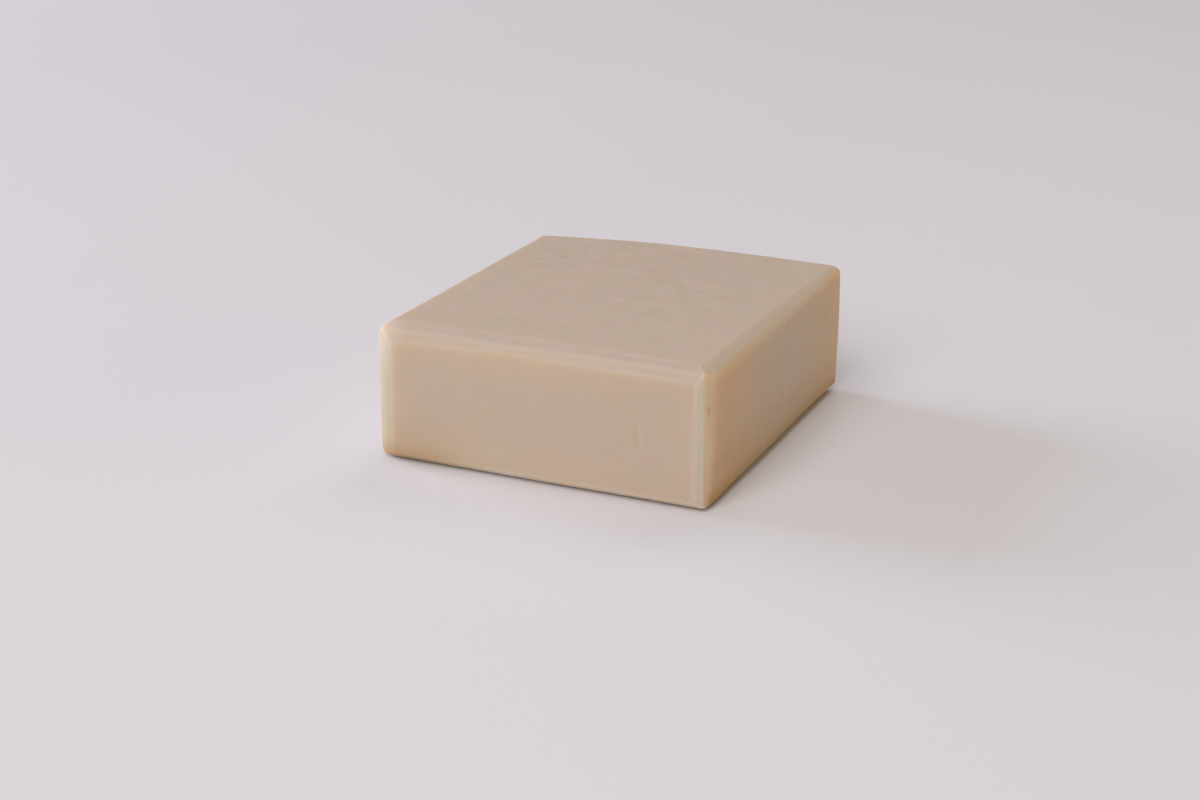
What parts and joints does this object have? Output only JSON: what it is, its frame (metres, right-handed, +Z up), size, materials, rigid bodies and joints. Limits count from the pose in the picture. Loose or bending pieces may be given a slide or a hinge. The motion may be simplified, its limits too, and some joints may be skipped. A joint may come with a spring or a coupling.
{
  "type": "bar of soap",
  "caption": "Hand-cut bar of cream coloured soap, a near-square block with planed bevels on every edge and a gently crowned top.",
  "frame": {"origin": "middle of the face that the bar lies on", "axes": "+X to the right along the front, +Y from the front to the back along the longest side, +Z up through the thickness"},
  "size_m": [0.07, 0.0764, 0.0285],
  "materials": {
    "soap": "satin, waxy, slightly translucent"
  },
  "bodies": {
    "root": {"soap_bar": "soap"}
  },
  "joints": []
}
